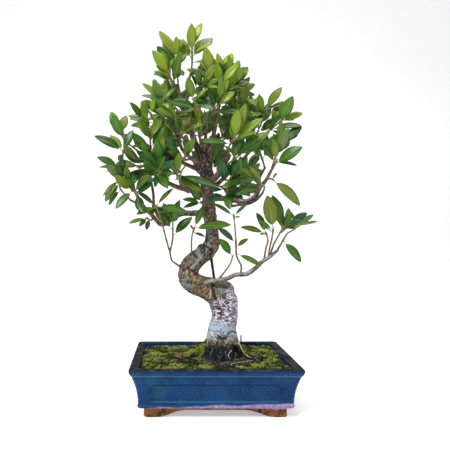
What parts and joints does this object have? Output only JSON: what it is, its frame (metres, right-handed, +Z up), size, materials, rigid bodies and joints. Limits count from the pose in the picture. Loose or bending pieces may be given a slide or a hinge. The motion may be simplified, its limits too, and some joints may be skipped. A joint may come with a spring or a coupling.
{
  "type": "ficus bonsai",
  "caption": "Ficus bonsai with an S-curved grafted trunk and surface roots, in a shallow blue glazed rectangular pot with sunk panels and an apron foot.",
  "frame": {"origin": "middle of the bounding box of the plant and its pot, on the surface that the feet stand on", "axes": "+Z up, +X to the right and +Y away from someone who looks at the tree's front"},
  "size_m": [0.352, 0.204, 0.6308],
  "materials": {
    "blue_glaze": "mottled glossy glaze",
    "black_plastic": "moulded net",
    "dark_soil": "crumbly, with moss",
    "grey_bark": "scarred bark with lichen",
    "deep_green_leaf": "waxy leaf",
    "fresh_green_leaf": "waxy leaf"
  },
  "bodies": {
    "root": {"pot": "blue_glaze", "drain_screen_left": "black_plastic", "drain_screen_right": "black_plastic", "soil": "dark_soil", "trunk": "grey_bark", "shoot_apex": "deep_green_leaf", "shoot_apex_left": "fresh_green_leaf", "shoot_left_crest": "deep_green_leaf", "shoot_leader_left_side": "fresh_green_leaf", "shoot_leader_right_side": "deep_green_leaf", "shoot_crest_middle": "fresh_green_leaf", "shoot_crest_right_in": "deep_green_leaf", "shoot_crest_right": "fresh_green_leaf", "shoot_front_top": "deep_green_leaf", "shoot_middle_top": "fresh_green_leaf", "shoot_head_back": "deep_green_leaf", "shoot_back_right": "fresh_green_leaf", "shoot_back_left": "deep_green_leaf", "shoot_back_middle": "fresh_green_leaf", "shoot_back_low_right": "deep_green_leaf", "shoot_back_low_left": "fresh_green_leaf", "shoot_crest_far_right": "deep_green_leaf", "shoot_right_fan": "fresh_green_leaf", "shoot_right_crown_tip": "deep_green_leaf", "shoot_right_shoulder": "fresh_green_leaf", "shoot_right_arm": "deep_green_leaf", "shoot_right_inner": "fresh_green_leaf", "shoot_right_hanging": "deep_green_leaf", "shoot_right_under_leaves": "fresh_green_leaf", "shoot_right_front": "deep_green_leaf", "shoot_right_front_low": "fresh_green_leaf", "shoot_trunk_right": "deep_green_leaf", "shoot_trunk_front_left": "fresh_green_leaf", "shoot_left_arch": "deep_green_leaf", "shoot_left_bright": "fresh_green_leaf", "shoot_left_broad": "deep_green_leaf", "shoot_left_high_tip": "fresh_green_leaf", "shoot_upper_left_tip": "deep_green_leaf", "shoot_upper_left_low": "fresh_green_leaf", "shoot_left_upright": "deep_green_leaf", "shoot_left_end": "fresh_green_leaf", "shoot_left_tip": "deep_green_leaf", "shoot_left_arched": "fresh_green_leaf", "shoot_left_hanging": "deep_green_leaf", "shoot_left_drooping": "fresh_green_leaf", "shoot_left_under": "deep_green_leaf", "shoot_left_middle": "fresh_green_leaf", "shoot_limb_shoot": "deep_green_leaf", "shoot_limb_side_shoot": "fresh_green_leaf", "shoot_left_low_shoot": "deep_green_leaf", "shoot_limb_riser": "fresh_green_leaf", "shoot_trunk_left": "deep_green_leaf", "shoot_right_low_riser": "fresh_green_leaf", "shoot_right_low_front": "deep_green_leaf", "shoot_right_low_twig": "fresh_green_leaf", "shoot_right_low_cross": "deep_green_leaf", "shoot_right_low_fork": "fresh_green_leaf", "shoot_right_low_end": "deep_green_leaf"}
  },
  "joints": []
}
